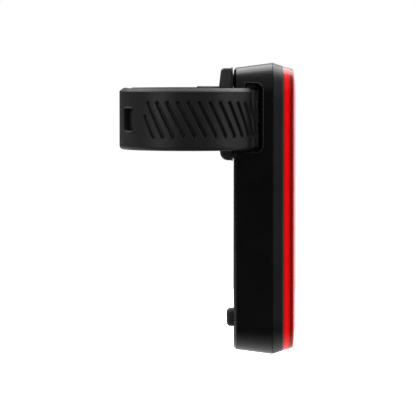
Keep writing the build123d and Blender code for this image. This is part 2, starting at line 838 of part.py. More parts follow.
def make_strap_far_arm(grooves):
    """Inner arm: from the near flank through the slot and round the far side to the tongue and its stud."""
    step_angle = arm_end_angle - degrees(closure_gap / strap_radius) + 360
    arm = strap_band(strap_inner_radius, strap_radius, strap_width, strap_edge_radius,
                     hinge_angle + hinge_gap_angle, step_angle)
    arm -= grooves
    root_angle = step_angle - degrees(step_run / strap_radius)
    neck = strap_band(tongue_inner_radius, strap_inner_radius + strap_thickness / 4, strap_width, 0,
                      root_angle, step_angle)
    tongue = strap_band(tongue_inner_radius, tongue_outer_radius, tongue_width, tongue_edge_radius,
                        root_angle, tongue_end_angle + 360)
    tongue -= tip_corners(tongue_end_angle, -1, tongue_width)
    stud_shift = (window_length - stud_length) / 2 - stud_gap
    plane = window_plane(tongue_inner_radius + tongue_thickness / 2) * Pos(stud_shift, 0)
    stud = extrude(plane * RectangleRounded(stud_length, stud_height, stud_corner_radius),
                   amount=tongue_thickness / 2 + tongue_gap + stud_rise)
    return arm + neck + tongue + stud


def main():
    """Build each piece and write it under its own name."""
    os.makedirs("parts", exist_ok=True)
    grooves = strap_grooves()
    pieces = {
        "rear_housing": make_rear_housing(),
        "front_bezel": make_front_bezel(),
        "housing_gasket": make_housing_gasket(),
        "lens": make_lens(),
        "case_screws": make_case_screws(),
        "threaded_inserts": make_threaded_inserts(),
        "led_board": make_led_board(),
        "leds": make_leds(),
        "reflector_tray": make_reflector_tray(),
        "light_guide": make_light_guide(),
        "battery_cell": make_battery_cell(),
        "battery_foam": make_battery_foam(),
        "battery_leads": make_battery_leads(),
        "board_components": make_board_components(),
        "usb_socket": make_usb_socket(),
        "tact_switch": make_tact_switch(),
        "power_button": make_power_button(),
        "button_stem": make_button_stem(),
        "port_cover": make_port_cover(),
        "port_cover_anchor": make_port_cover_anchor(),
        "saddle_plate": make_saddle_plate(),
        "plate_screws": make_plate_screws(),
        "saddle_pad": make_saddle_pad(),
        "strap_near_arm": make_strap_near_arm(grooves),
        "strap_far_arm": make_strap_far_arm(grooves),
    }
    for name, solid in pieces.items():
        export_step(solid, f"parts/{name}.step")


main()
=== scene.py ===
"""Bicycle rear light on a rubber seat-post strap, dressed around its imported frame. Metres throughout."""

import bmesh
import bpy
import numpy as np
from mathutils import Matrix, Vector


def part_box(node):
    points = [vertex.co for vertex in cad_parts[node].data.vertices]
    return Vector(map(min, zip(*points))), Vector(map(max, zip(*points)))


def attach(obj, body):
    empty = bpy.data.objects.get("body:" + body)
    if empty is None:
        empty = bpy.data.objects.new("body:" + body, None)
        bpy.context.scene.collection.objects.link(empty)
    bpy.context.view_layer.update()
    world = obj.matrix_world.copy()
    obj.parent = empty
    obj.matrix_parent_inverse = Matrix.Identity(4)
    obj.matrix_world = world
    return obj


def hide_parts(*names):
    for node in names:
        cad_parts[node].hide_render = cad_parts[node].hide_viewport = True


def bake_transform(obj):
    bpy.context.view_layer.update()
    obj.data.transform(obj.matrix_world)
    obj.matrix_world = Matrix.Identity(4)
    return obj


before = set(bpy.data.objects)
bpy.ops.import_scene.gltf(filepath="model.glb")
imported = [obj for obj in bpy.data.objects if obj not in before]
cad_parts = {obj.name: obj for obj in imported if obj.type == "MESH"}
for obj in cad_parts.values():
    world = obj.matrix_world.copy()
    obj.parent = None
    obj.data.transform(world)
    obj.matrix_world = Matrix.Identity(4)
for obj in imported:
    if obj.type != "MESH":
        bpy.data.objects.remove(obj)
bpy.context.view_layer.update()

MM = 0.001
QUARTER = np.pi / 2
FULL_TURN = 360.0
MERGE_DISTANCE = 0.002 * MM
CREASE_ANGLE = 35.0

# Rounded rectangles: the signs of their corners in turn, and the points on each corner
CORNER_SIGNS = ((1, 1), (-1, 1), (-1, -1), (1, -1))
CORNER_POINTS = 10

# Strap sizes: its radius, centre and height are those of the frame's near arm
NEAR_LOW, NEAR_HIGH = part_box("strap_near_arm")
STRAP_RADIUS = -NEAR_LOW.y
STRAP_CENTRE_X = NEAR_LOW.x + STRAP_RADIUS
STRAP_HALF_HEIGHT = (NEAR_HIGH.z - NEAR_LOW.z) / 2
STRAP_MIDDLE_Z = (NEAR_LOW.z + NEAR_HIGH.z) / 2
STRAP_THICKNESS = 2.0 * MM
# Depth up to which a point of the strap's section counts as on its outer face
ON_FACE = 0.02 * MM

# Each edge of the strap: its rise, run and flatness, in the open and where the slot grips it
TOP_BEVEL = (1.15 * MM, 1.45 * MM, 0.85)
BOTTOM_BEVEL = (1.2 * MM, 1.0 * MM, 0.2)
SLOT_EDGE = (1.5 * MM, 1.5 * MM, 0.0)
SLOT_SQUEEZE = 0.11 * MM
INNER_EDGE = 0.25 * MM
EDGE_POINTS = 11
INNER_EDGE_POINTS = 5
INNER_FACE_POINTS = 24

# Angles round the strap in degrees, from the near side and growing towards the lamp
SLOT_ANGLE = 90.0
GRIP_END = 23.0
OPEN_START = 34.0
SEAM_ANGLE = 80.0
ARM_TIP_ANGLE = -112.0
ARM_TIP_SPAN = 10.0
GROOVES_START_ANGLE = -42.0
GROOVES_END_ANGLE = 215.0
STEP_ANGLE = 247.3
STEP_BEFORE = 0.5
STEP_AFTER = 0.35
STEP_RAMP = 6.0
STEP_NEAR_ANGLES = (243.0, 249.0)
STUD_START_ANGLE = 290.0
TONGUE_TIP_ANGLE = 312.0

# Stretches of each arm and the steps in each, which are shorter where the shape changes more
NEAR_STOPS = (ARM_TIP_ANGLE, ARM_TIP_ANGLE + ARM_TIP_SPAN, GROOVES_START_ANGLE, SEAM_ANGLE)
NEAR_STEPS = (34, 40, 370)
NEAR_FACE_POINTS = 126
FAR_STOPS = (SEAM_ANGLE, GROOVES_END_ANGLE, *STEP_NEAR_ANGLES, STUD_START_ANGLE, TONGUE_TIP_ANGLE)
FAR_STEPS = (300, 20, 40, 50, 90)
FAR_FACE_POINTS = 110

# Slanted grooves; the one before the first is short
GROOVE_FIRST_ANGLE = -28.5
GROOVE_PITCH_ANGLE = 8.72
GROOVE_COUNT = 28
GROOVE_RISE = 11.3 * MM
GROOVE_RUN = 5.8 * MM
GROOVE_FLOOR_HALF = 0.14 * MM
GROOVE_MOUTH_HALF = 0.86 * MM
GROOVE_DEPTH = 0.9 * MM
GROOVE_MIDDLE_Z = -0.15 * MM
SHORT_GROOVE_SHARE = 0.6

# Where along x, and how far below its outer face, light is painted onto the strap inside the slot, whose
# walls shade it
PAINTED_LIGHT_NAME = "painted_light"
PAINTED_LIGHT_START_X = 24.4 * MM
PAINTED_LIGHT_END_X = 27.4 * MM
PAINTED_LIGHT_DEPTH = 0.5 * MM

# Ends of the strap, the window, and the tongue with the stud that fills the window
TIP_CORNER = 3.5 * MM
WINDOW_ANGLE = -60.5
WINDOW_LENGTH = 6.4 * MM
WINDOW_HEIGHT = 7.6 * MM
WINDOW_CORNER = 1.1 * MM
WINDOW_CORNER_POINTS = 9
WINDOW_MIDDLE_Z = -0.25 * MM
# Rim of the window: height above the strap's face and growth of the outline, in millimetres
WINDOW_RIM = ((-3.0, 0.0), (-0.75, 0.0), (-0.5, 0.06), (-0.28, 0.22), (-0.1, 0.5), (1.0, 2.6))
STUD_LENGTH = 2.5 * MM
STUD_HEIGHT = 6.3 * MM
STUD_CORNER = 0.7 * MM
STUD_RISE = 0.95 * MM
STUD_SHIFT = 1.65 * MM
STUD_RADIUS = 22.8 * MM
STUD_EDGE = (-0.28 * MM, 0.02 * MM)
TONGUE_HALF_HEIGHT = 8.5 * MM
TONGUE_STEP_OUT = 2.1 * MM
TONGUE_STEP_IN = 1.7 * MM


def smooth(x, low, high):
    """0 below low, 1 above high, and a cubic ease between them: t squared times 3 minus 2 t."""
    t = np.clip((x - low) / (high - low), 0, 1)
    return t * t * (3 - 2 * t)


def new_object(name, points, faces):
    """Object at the origin from a grid of points and its faces, with doubled points merged and every face
    turned outwards."""
    mesh = bpy.data.meshes.new(name)
    mesh.from_pydata(points.reshape(-1, 3).tolist(), [], faces)
    mesh.validate()
    work = bmesh.new()
    work.from_mesh(mesh)
    bmesh.ops.remove_doubles(work, verts=work.verts, dist=MERGE_DISTANCE)
    bmesh.ops.recalc_face_normals(work, faces=work.faces)
    work.to_mesh(mesh)
    work.free()
    piece = bpy.data.objects.new(name, mesh)
    bpy.context.scene.collection.objects.link(piece)
    return piece


def shade(piece, material):
    """Smooth shading with creases at sharp angles, and the piece's one material."""
    piece.data.shade_smooth()
    piece.data.set_sharp_from_angle(angle=np.radians(CREASE_ANGLE))
    piece.data.materials.clear()
    piece.data.materials.append(material)


def mesh_piece(name, points, faces, body, replaced, material):
    """Finished piece: shaded, with the nodes it stands for, and the body that it rides on, if it
    rides on one body alone."""
    piece = new_object(name, points, faces)
    shade(piece, material)
    if replaced:
        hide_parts(*replaced)
    if body:
        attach(piece, body)
    return piece


def combine(piece, other, operation, material):
    """Cut the other object out of the piece, or join it on, and keep the result as the piece's own mesh."""
    modifier = piece.modifiers.new("combine", "BOOLEAN")
    modifier.operation = operation
    modifier.solver = "EXACT"
    modifier.object = other
    bpy.context.view_layer.update()
    evaluated = piece.evaluated_get(bpy.context.evaluated_depsgraph_get())
    mesh = bpy.data.meshes.new_from_object(evaluated)
    piece.modifiers.clear()
    piece.data = mesh
    bpy.data.objects.remove(other)
    shade(piece, material)


def grid_faces(rows, columns, close_rows=False, close_columns=False):
    """Quads between neighbours of a grid, which may close on itself either way."""
    index = np.arange(rows * columns).reshape(rows, columns)
    if close_rows:
        index = np.vstack([index, index[:1]])
    if close_columns:
        index = np.hstack([index, index[:, :1]])
    quads = np.stack([index[:-1, :-1], index[1:, :-1], index[1:, 1:], index[:-1, 1:]], axis=-1)
    return quads.reshape(-1, 4).tolist()


def tube_faces(points):
    """Faces of a closed tube whose rows of points go round it one after another, with a cap at each end."""
    rows, columns = points.shape[:2]
    first = list(range(columns))
    last = [(rows - 1) * columns + k for k in range(columns)]
    return grid_faces(rows, columns, close_columns=True) + [first[::-1], last]


def rounded_loop(length, height, corners, per_corner=CORNER_POINTS):
    """Closed loop of a rounded rectangle: a quarter circle at each corner, from the one at plus and plus on.
    The corners have one radius between them or four."""
    turn = np.linspace(0, QUARTER, per_corner)
    radii = np.broadcast_to(corners, 4)
    loops = []
    for k, (sx, sy) in enumerate(CORNER_SIGNS):
        angle = turn + k * QUARTER
        x = sx * (length / 2 - radii[k]) + radii[k] * np.cos(angle)
        y = sy * (height / 2 - radii[k]) + radii[k] * np.sin(angle)
        loops.append(np.column_stack([x, y]))
    return np.vstack(loops)


def stretches(stops, steps):
    """Angles from the first stop to the last, with each stretch between two stops in its own steps."""
    parts = []
    for low, high, count in zip(stops, stops[1:], steps):
        parts.append(np.linspace(low, high, count, endpoint=(high == stops[-1])))
    return np.concatenate(parts)


def groove_depth(run, height):
    """Depth of the slanted grooves at a run along the strap and a height: the full depth where the distance
    to a groove's line is small, eased to nothing at the half width of its mouth."""
    depth = np.zeros_like(run)
    direction = np.array([GROOVE_RUN, -GROOVE_RISE])
    length = np.hypot(*direction)
    direction = direction / length
    for k in range(-1, GROOVE_COUNT):
        dx = run - np.radians(GROOVE_FIRST_ANGLE + k * GROOVE_PITCH_ANGLE) * STRAP_RADIUS
        dz = height - GROOVE_MIDDLE_Z
        start = 0.5 - SHORT_GROOVE_SHARE if k < 0 else -0.5
        along = np.clip(dx * direction[0] + dz * direction[1], start * length, 0.5 * length)
        distance = np.hypot(dx - along * direction[0], dz - along * direction[1])
        cut = 1 - smooth(distance, GROOVE_FLOOR_HALF, GROOVE_MOUTH_HALF)
        depth = np.maximum(depth, GROOVE_DEPTH * cut)
    return depth


def bevel_curve(rise, run, flatness):
    """Edge from a face to a side, as rise and run: a straight bevel and a quarter of an ellipse, mixed."""
    turn = np.linspace(0, QUARTER, EDGE_POINTS)
    share = turn / QUARTER
    ellipse = np.column_stack([rise * np.sin(turn), run * (1 - np.cos(turn))])
    chord = np.column_stack([rise * share, run * share])
    return flatness * chord + (1 - flatness) * ellipse


def edge_section(half, face_points, top_shape, bottom_shape):
    """Closed cross-section of the strap, as height and depth below its outer face, going once round:
    a flat face, an edge curve along the top, another along the bottom, and a flat inside."""
    outer = np.linspace(-half + bottom_shape[0], half - top_shape[0], face_points)
    face = np.column_stack([outer, np.zeros_like(outer)])
    top = bevel_curve(*top_shape)[1:] + [half - top_shape[0], 0]
    bottom = bevel_curve(*bottom_shape)[1:] + [half - bottom_shape[0], 0]
    turn = np.linspace(0, QUARTER, INNER_EDGE_POINTS)
    reach = half - INNER_EDGE
    inner_top = np.column_stack([reach + INNER_EDGE * np.cos(turn),
                                 STRAP_THICKNESS - INNER_EDGE + INNER_EDGE * np.sin(turn)])
    inner = np.linspace(reach, -reach, INNER_FACE_POINTS)[1:-1]
    middle = np.column_stack([inner, np.full_like(inner, STRAP_THICKNESS)])
    flip = [-1, 1]
    return np.vstack([face, top, inner_top, middle, inner_top[::-1] * flip, bottom[::-1] * flip])


def strap_sections(face_points, angles):
    """Height and depth of the section at each angle: a broad bevel along the top and a rounder edge along
    the bottom, which ease into plain round edges where the slot grips the strap."""
    open_air = edge_section(STRAP_HALF_HEIGHT, face_points, TOP_BEVEL, BOTTOM_BEVEL)[None]
    in_slot = edge_section(STRAP_HALF_HEIGHT + SLOT_SQUEEZE, face_points, SLOT_EDGE, SLOT_EDGE)[None]
    outside = smooth(np.abs(angles - SLOT_ANGLE), GRIP_END, OPEN_START)[:, None, None]
    mixed = in_slot + (open_air - in_slot) * outside
    return mixed[..., 0], mixed[..., 1]


def strap_points(angles, heights, radii):
    """Points round the strap's centre: along x the radius times the angle's sine, along y minus the radius
    times its cosine, and the height along z."""
    turn = np.radians(angles)
    x = STRAP_CENTRE_X + radii * np.sin(turn)
    y = -radii * np.cos(turn)
    return np.stack([x, y, heights + 0 * x], axis=-1)


def tip_narrowing(from_tip, half):
    """Share of the strap's height left at a distance from its tip, where a circle rounds both corners."""
    room = np.clip(TIP_CORNER - from_tip, 0, TIP_CORNER)
    return (half - TIP_CORNER + np.sqrt(TIP_CORNER**2 - room**2)) / half


def window_cutter():
    """Bar square to the strap, with the window's rounded outline grown step by step to a flared rim."""
    turn = np.radians(WINDOW_ANGLE)
    normal = np.array([np.sin(turn), -np.cos(turn), 0])
    tangent = np.array([np.cos(turn), np.sin(turn), 0])
    up = np.array([0, 0, 1])
    rings = []
    for out, grow in np.array(WINDOW_RIM) * MM:
        loop = rounded_loop(WINDOW_LENGTH + 2 * grow, WINDOW_HEIGHT + 2 * grow, WINDOW_CORNER + grow,
                            WINDOW_CORNER_POINTS)
        centre = np.array([STRAP_CENTRE_X, 0, WINDOW_MIDDLE_Z]) + normal * (STRAP_RADIUS + out)
        rings.append(centre + loop[:, :1] * tangent + loop[:, 1:] * up)
    points = np.array(rings)
    return new_object("window_tool", points, tube_faces(points))


def stud_height(run, height):
    """Rise of the stud above the tongue: full inside a rounded rectangle, with an ease across its edge, by
    the distance to that edge."""
    stretch = STUD_RADIUS / STRAP_RADIUS
    stud_run = np.radians(FULL_TURN + WINDOW_ANGLE) * STRAP_RADIUS
    dx = np.abs((run - stud_run) * stretch - STUD_SHIFT) - STUD_LENGTH / 2 + STUD_CORNER
    dz = np.abs(height - WINDOW_MIDDLE_Z) - STUD_HEIGHT / 2 + STUD_CORNER
    edge = np.hypot(np.maximum(dx, 0), np.maximum(dz, 0)) + np.minimum(np.maximum(dx, dz), 0) - STUD_CORNER
    return STUD_RISE * (1 - smooth(edge, *STUD_EDGE))


def mark_painted_light(piece):
    """Attribute of each point, 0 to 1, that marks painted light: the square of how far into the slot it lies,
    on the outer face.
    """
    mesh = piece.data
    points = np.empty(len(mesh.vertices) * 3)
    mesh.vertices.foreach_get("co", points)
    x, y = points.reshape(-1, 3)[:, :2].T
    inside = np.clip((x - PAINTED_LIGHT_START_X) / (PAINTED_LIGHT_END_X - PAINTED_LIGHT_START_X), 0, 1)
    radius = np.hypot(x - STRAP_CENTRE_X, y)
    outer = smooth(radius, STRAP_RADIUS - PAINTED_LIGHT_DEPTH, STRAP_RADIUS)
    mesh.attributes.new(PAINTED_LIGHT_NAME, "FLOAT", "POINT").data.foreach_set("value", inside**2 * outer)


def make_near_strap(material):
    """Near arm: the strap's section carried round the arc, with grooves sunk in its outer face, rounded
    corners at the tip and a window cut through it."""
    angles = stretches(NEAR_STOPS, NEAR_STEPS)
    run = np.radians(angles)[:, None] * STRAP_RADIUS
    height, depth = strap_sections(NEAR_FACE_POINTS, angles)
    from_tip = run - np.radians(ARM_TIP_ANGLE) * STRAP_RADIUS
    height = height * tip_narrowing(from_tip, STRAP_HALF_HEIGHT) + STRAP_MIDDLE_Z
    sunk = np.where(depth < ON_FACE, groove_depth(run, height), 0)
    points = strap_points(angles[:, None], height, STRAP_RADIUS - depth - sunk)
    arm = mesh_piece("strap_near_arm_band", points, tube_faces(points), None, ("strap_near_arm",),
                     material)
    combine(arm, window_cutter(), "DIFFERENCE", material)
    # Paint light onto the strap's outer face inside the slot, where the slot's walls shade it
    mark_painted_light(arm)
    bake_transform(arm)


def make_far_strap(material):
    """Far arm: the same section through the slot and round the far side; both its faces step inwards to a
    narrower tongue that carries the stud."""
    angles = stretches(FAR_STOPS, FAR_STEPS)
    run = np.radians(angles)[:, None] * STRAP_RADIUS
    height, depth = strap_sections(FAR_FACE_POINTS, angles)
    step = smooth(angles, STEP_ANGLE - STEP_BEFORE, STEP_ANGLE + STEP_AFTER)[:, None]
    ramp = smooth(angles, STEP_ANGLE - STEP_RAMP, STEP_ANGLE)[:, None]
    from_tip = np.radians(TONGUE_TIP_ANGLE) * STRAP_RADIUS - run
    height = height * (1 - step * (1 - TONGUE_HALF_HEIGHT / STRAP_HALF_HEIGHT))
    height = height * tip_narrowing(from_tip, TONGUE_HALF_HEIGHT) + STRAP_MIDDLE_Z
    outer = STRAP_RADIUS - step * TONGUE_STEP_OUT
    inner = STRAP_RADIUS - STRAP_THICKNESS - ramp * TONGUE_STEP_IN
    on_face = depth < ON_FACE
    sunk = np.where(on_face, groove_depth(run, height), 0) * (1 - step)
    rise = np.where(on_face, stud_height(run, height), 0)
    radii = outer - depth / STRAP_THICKNESS * (outer - inner) - sunk + rise
    points = strap_points(angles[:, None], height, radii)
    mesh_piece("strap_far_arm_band", points, tube_faces(points), "lamp", ("strap_far_arm",),
               material)


# Saddle pad: the block behind the post, with its front's place at four levels, and its two wings, whose
# outer arc has a centre of its own
PAD_LOW, PAD_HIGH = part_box("saddle_pad")
PLATE_FRONT_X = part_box("saddle_plate")[0].x
PAD_FRONT_X = (15.0 * MM, 13.75 * MM, 13.75 * MM, 14.5 * MM)
PAD_HALF_WIDTH = 8.5 * MM
PAD_UPPER_CORNER = 1.4 * MM
PAD_LOWER_CORNER = 2.8 * MM
PAD_SIDE_ROUND = 0.9 * MM
PAD_UPPER_POINTS = 12
PAD_LOWER_POINTS = 16
PAD_FRONT_POINTS = 50
PAD_SIDE_POINTS = 8
PAD_MIDDLE_POINTS = 24
WING_LOW_Z = -10.65 * MM
WING_HIGH_Z = 11.05 * MM
WING_INNER_RADIUS = 13.7 * MM
WING_OUTER_RADIUS = 14.0 * MM
WING_CENTRE_X = 3.0 * MM
WING_REACH = 64.5
WING_EDGE = 0.5 * MM
WING_TIP_SHARE = 0.25
WING_POINTS = 150
WING_EDGE_POINTS = 7


def pad_profile():
    """Side outline of the pad's block as x and z: along the top, round its front corner, down the front,
    round the lower corner and back along the bottom."""
    levels = (PAD_LOW.z, WING_LOW_Z, WING_HIGH_Z, PAD_HIGH.z)
    upper_z = PAD_HIGH.z - PAD_UPPER_CORNER
    lower_z = PAD_LOW.z + PAD_LOWER_CORNER
    front_z = np.linspace(upper_z, lower_z, PAD_FRONT_POINTS)[1:-1]
    front = np.column_stack([np.interp(front_z, levels, PAD_FRONT_X), front_z])

    def corner(z, radius, start, count):
        """Quarter circle whose outermost point lies on the front at a height."""
        turn = np.linspace(start, start + QUARTER, count)
        x = np.interp(z, levels, PAD_FRONT_X) + radius
        return np.column_stack([x + radius * np.cos(turn), z + radius * np.sin(turn)])

    return np.vstack([
        [[PLATE_FRONT_X, PAD_HIGH.z]],
        corner(upper_z, PAD_UPPER_CORNER, QUARTER, PAD_UPPER_POINTS),
        front,
        corner(lower_z, PAD_LOWER_CORNER, 2 * QUARTER, PAD_LOWER_POINTS),
        [[PLATE_FRONT_X, PAD_LOW.z]],
    ])


def make_saddle_pad(material):
    """Rubber pad: its side outline carried across the width and drawn in along a quarter round at both
    sides, joined to two wings whose outer and inner arcs have different centres."""
    profile = pad_profile()
    ahead = np.vstack([profile[1:], profile[-1:]]) - np.vstack([profile[:1], profile[:-1]])
    ahead = ahead / np.linalg.norm(ahead, axis=1)[:, None]
    inward = np.column_stack([-ahead[:, 1], ahead[:, 0]])
    inward[[0, -1]] = [[0, -1], [0, 1]]
    turn = np.linspace(0, QUARTER, PAD_SIDE_POINTS)
    side_y = PAD_HALF_WIDTH - PAD_SIDE_ROUND + PAD_SIDE_ROUND * np.cos(turn)
    side_in = PAD_SIDE_ROUND * (1 - np.sin(turn))
    middle = np.linspace(-side_y[-1], side_y[-1], PAD_MIDDLE_POINTS)[1:-1]
    across = np.concatenate([-side_y, middle, side_y[::-1]])
    drawn = np.concatenate([side_in, np.zeros_like(middle), side_in[::-1]])
    x = profile[:, :1] + drawn[None, :] * inward[:, :1]
    z = profile[:, 1:] + drawn[None, :] * inward[:, 1:]
    points = np.stack([x, across[None, :] + 0 * x, z], axis=-1)
    rows, columns = x.shape
    index = np.arange(rows * columns).reshape(rows, columns)
    caps = [index[:, 0].tolist(), index[::-1, -1].tolist(), index[0].tolist() + index[-1, ::-1].tolist()]
    faces = grid_faces(rows, columns) + caps
    pad = mesh_piece("saddle_pad_block", points, faces, "lamp", ("saddle_pad",), material)
    combine(pad, wing_band(), "UNION", material)


def wing_band():
    """Band round the post between an inner arc about the post and an outer arc about a point behind it,
    with rounded edges and rounded tips."""
    turn = np.radians(np.linspace(-WING_REACH, WING_REACH, WING_POINTS))[:, None]
    offset = WING_CENTRE_X * np.cos(turn)
    outer = offset + np.sqrt(WING_OUTER_RADIUS**2 - (WING_CENTRE_X * np.sin(turn)) ** 2)
    half = (outer - WING_INNER_RADIUS) / 2
    from_tip = (np.radians(WING_REACH) - np.abs(turn)) * WING_INNER_RADIUS
    room = np.clip(WING_EDGE - from_tip, 0, WING_EDGE) / WING_EDGE
    round_tip = np.maximum(np.sqrt(1 - room**2), WING_TIP_SHARE)
    loop = rounded_loop(2 * WING_EDGE, WING_HIGH_Z - WING_LOW_Z, WING_EDGE, WING_EDGE_POINTS)
    side = np.repeat([1, -1, -1, 1], WING_EDGE_POINTS)[None, :]
    radial = side * (half - WING_EDGE) + loop[None, :, 0]
    radii = WING_INNER_RADIUS + half + round_tip * radial
    height = (WING_LOW_Z + WING_HIGH_Z) / 2 + loop[None, :, 1] + 0 * turn
    points = np.stack([radii * np.cos(turn), radii * np.sin(turn), height], axis=-1)
    return new_object("wing_tool", points, tube_faces(points))


# Power button on the lower back
BUTTON_WIDTH = 11.0 * MM
BUTTON_HEIGHT = 5.9 * MM
BUTTON_CORNER = 2.4 * MM
BUTTON_ROUND = 1.4 * MM
BUTTON_DISH = 0.25 * MM
BUTTON_FLANGE = 0.8 * MM

# Port cover: the flap, the plug on its inside, and the strip that holds it
COVER_THICKNESS = 1.05 * MM
COVER_TOP_CORNER = 0.45 * MM
COVER_LOWER_CORNER = 1.8 * MM
COVER_ROUND = 0.35 * MM
PLUG_WIDTH = 8.0 * MM
PLUG_HEIGHT = 2.7 * MM
PLUG_CORNER = 1.1 * MM
PLUG_ROUND = 0.25 * MM

# Rings over a quarter-round edge and over a dish, and the least corner that an inset leaves
ROUND_RINGS = 10
DISH_RINGS = 14
LEAST_CORNER = 0.1 * MM


def ring_stack(name, node, rings, body, material):
    """Closed piece that stands for a node, from rings at the node's middle height: each is a place along x
    and a loop across y and z."""
    low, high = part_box(node)
    middle = [0, (low.z + high.z) / 2]
    points = np.array([np.column_stack([np.full(len(loop), x), loop + middle]) for x, loop in rings])
    mesh_piece(name, points, tube_faces(points), body, (node,), material)


def rounded_face(x, width, height, corners, radius, dish):
    """Rings over a quarter-round edge, whose inset is the radius times 1 minus the cosine, and in to the
    middle of a dish, whose depth is 1 minus the square of the share left; x is the outermost place."""
    rings = []
    for turn in np.linspace(0, QUARTER, ROUND_RINGS):
        inset = radius * (1 - np.cos(turn))
        smaller = np.maximum(np.array(corners) - inset, LEAST_CORNER)
        loop = rounded_loop(width - 2 * inset, height - 2 * inset, smaller)
        rings.append((x + radius * (1 - np.sin(turn)), loop))
    face = rings[-1][1]
    for share in np.linspace(1, 0, DISH_RINGS)[1:-1]:
        rings.append((x + dish * (1 - share**2), face * share))
    return rings


def make_power_button(material):
    """Rubber button: the hidden flange, the straight sides, a quarter round and a shallow dish."""
    low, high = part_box("power_button")
    flange = rounded_loop(BUTTON_WIDTH + 2 * BUTTON_FLANGE, BUTTON_HEIGHT + 2 * BUTTON_FLANGE,
                          BUTTON_CORNER + BUTTON_FLANGE)
    side = rounded_loop(BUTTON_WIDTH, BUTTON_HEIGHT, BUTTON_CORNER)
    root = high.x - BUTTON_FLANGE
    rings = [(high.x, flange), (root, flange), (root, side)]
    rings += rounded_face(low.x, BUTTON_WIDTH, BUTTON_HEIGHT, BUTTON_CORNER, BUTTON_ROUND, BUTTON_DISH)
    ring_stack("power_button_cap", "power_button", rings, "button", material)


def make_port_cover(material):
    """Rubber flap with softened edges, and the plug on its inside that fills the port."""
    low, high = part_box("port_cover")
    corners = [COVER_TOP_CORNER] * 2 + [COVER_LOWER_CORNER] * 2
    width, height = high.y - low.y, high.z - low.z
    inside = low.x + COVER_THICKNESS
    tip = rounded_loop(PLUG_WIDTH - 2 * PLUG_ROUND, PLUG_HEIGHT - 2 * PLUG_ROUND, PLUG_CORNER - PLUG_ROUND)
    plug = rounded_loop(PLUG_WIDTH, PLUG_HEIGHT, PLUG_CORNER)
    flap = rounded_loop(width, height, corners)
    rings = [(high.x, tip), (high.x - PLUG_ROUND, plug), (inside, plug), (inside, flap)]
    rings += rounded_face(low.x, width, height, corners, COVER_ROUND, 0)
    ring_stack("port_cover_flap", "port_cover", rings, "flap", material)


def make_cover_anchor(material):
    """Rubber strip above the flap, set in the housing's back."""
    low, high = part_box("port_cover_anchor")
    corners = [COVER_LOWER_CORNER / 2] * 2 + [COVER_TOP_CORNER] * 2
    width, height = high.y - low.y, high.z - low.z
    rings = [(low.x + COVER_THICKNESS, rounded_loop(width, height, corners))]
    rings += rounded_face(low.x, width, height, corners, COVER_ROUND, 0)
    ring_stack("port_cover_strip", "port_cover_anchor", rings, "lamp", material)


# Rounded rims of the strap's slot, on the tapered flanks
CASE_CREASE_X = 32.3 * MM
CASE_DEPTH = 13.4 * MM
CASE_INSET = 1.75 * MM
CASE_RADIUS = 12.4 * MM
SPINE_TOP_Z = 6.85 * MM
SLOT_BACK_X = 22.3 * MM
SLOT_FRONT_X = 28.9 * MM
SLOT_LOW_Z = -11.6 * MM
SLOT_HIGH_Z = 12.4 * MM
SLOT_CORNERS = (2.4 * MM, 1.0 * MM, 1.0 * MM, 2.4 * MM)
RIM_RADIUS = 0.22 * MM
RIM_SINK = 0.13 * MM
RIM_CORNER_POINTS = 14
RIM_SIDE_POINTS = 16
RIM_ROUND_POINTS = 12


def rim_points(side):
    """Thin tube round the slot's mouth: the slot's outline laid on the flank, which is a slanted plane low
    down and a cone about the upper end's axis higher up."""
    loop = rounded_loop(SLOT_FRONT_X - SLOT_BACK_X, SLOT_HIGH_Z - SLOT_LOW_Z, SLOT_CORNERS, RIM_CORNER_POINTS)
    share = np.linspace(0, 1, RIM_SIDE_POINTS)[1:-1, None]
    runs = []
    for k in range(4):
        corner = loop[RIM_CORNER_POINTS * k:RIM_CORNER_POINTS * (k + 1)]
        following = loop[RIM_CORNER_POINTS * (k + 1) % len(loop)]
        runs += [corner, corner[-1] + share * (following - corner[-1])]
    path = np.vstack(runs) + [(SLOT_FRONT_X + SLOT_BACK_X) / 2, (SLOT_HIGH_Z + SLOT_LOW_Z) / 2]
    x, z = path.T
    radius = CASE_RADIUS - CASE_INSET * (CASE_CREASE_X - x) / CASE_DEPTH
    up = np.maximum(z - SPINE_TOP_Z, 0)
    across = np.sqrt(radius**2 - up**2)
    normal = np.column_stack([-CASE_INSET / CASE_DEPTH + 0 * x, side * across / radius, up / radius])
    normal = normal / np.linalg.norm(normal, axis=1)[:, None]
    centre = np.column_stack([x, side * across, z]) - RIM_SINK * normal
    ahead = np.roll(centre, -1, axis=0) - np.roll(centre, 1, axis=0)
    beside = np.cross(ahead / np.linalg.norm(ahead, axis=1)[:, None], normal)
    turn = np.linspace(0, 4 * QUARTER, RIM_ROUND_POINTS + 1)[:-1]
    circle = normal[:, None] * np.cos(turn)[None, :, None] + beside[:, None] * np.sin(turn)[None, :, None]
    return centre[:, None] + RIM_RADIUS * circle


def make_slot_rims(material):
    """Both rims as one piece on the lamp."""
    both = np.concatenate([rim_points(-1), rim_points(1)])
    rows, columns = both.shape[0] // 2, both.shape[1]
    faces = grid_faces(rows, columns, close_rows=True, close_columns=True)
    far = (np.array(faces) + rows * columns).tolist()
    mesh_piece("slot_rims", both, faces + far, "lamp", (), material)


def set_input(tree, socket, value):
    """Link a socket to another, or set it to a number or a colour."""
    if hasattr(value, "is_linked"):
        tree.links.new(value, socket)
    else:
        socket.default_value = (*value, 1) if isinstance(value, tuple) else value


def math_node(tree, operation, *values):
    """Math node whose inputs are sockets or numbers; gives its output."""
    node = tree.nodes.new("ShaderNodeMath")
    node.operation = operation
    for socket, value in zip(node.inputs, values):
        set_input(tree, socket, value)
    return node.outputs[0]


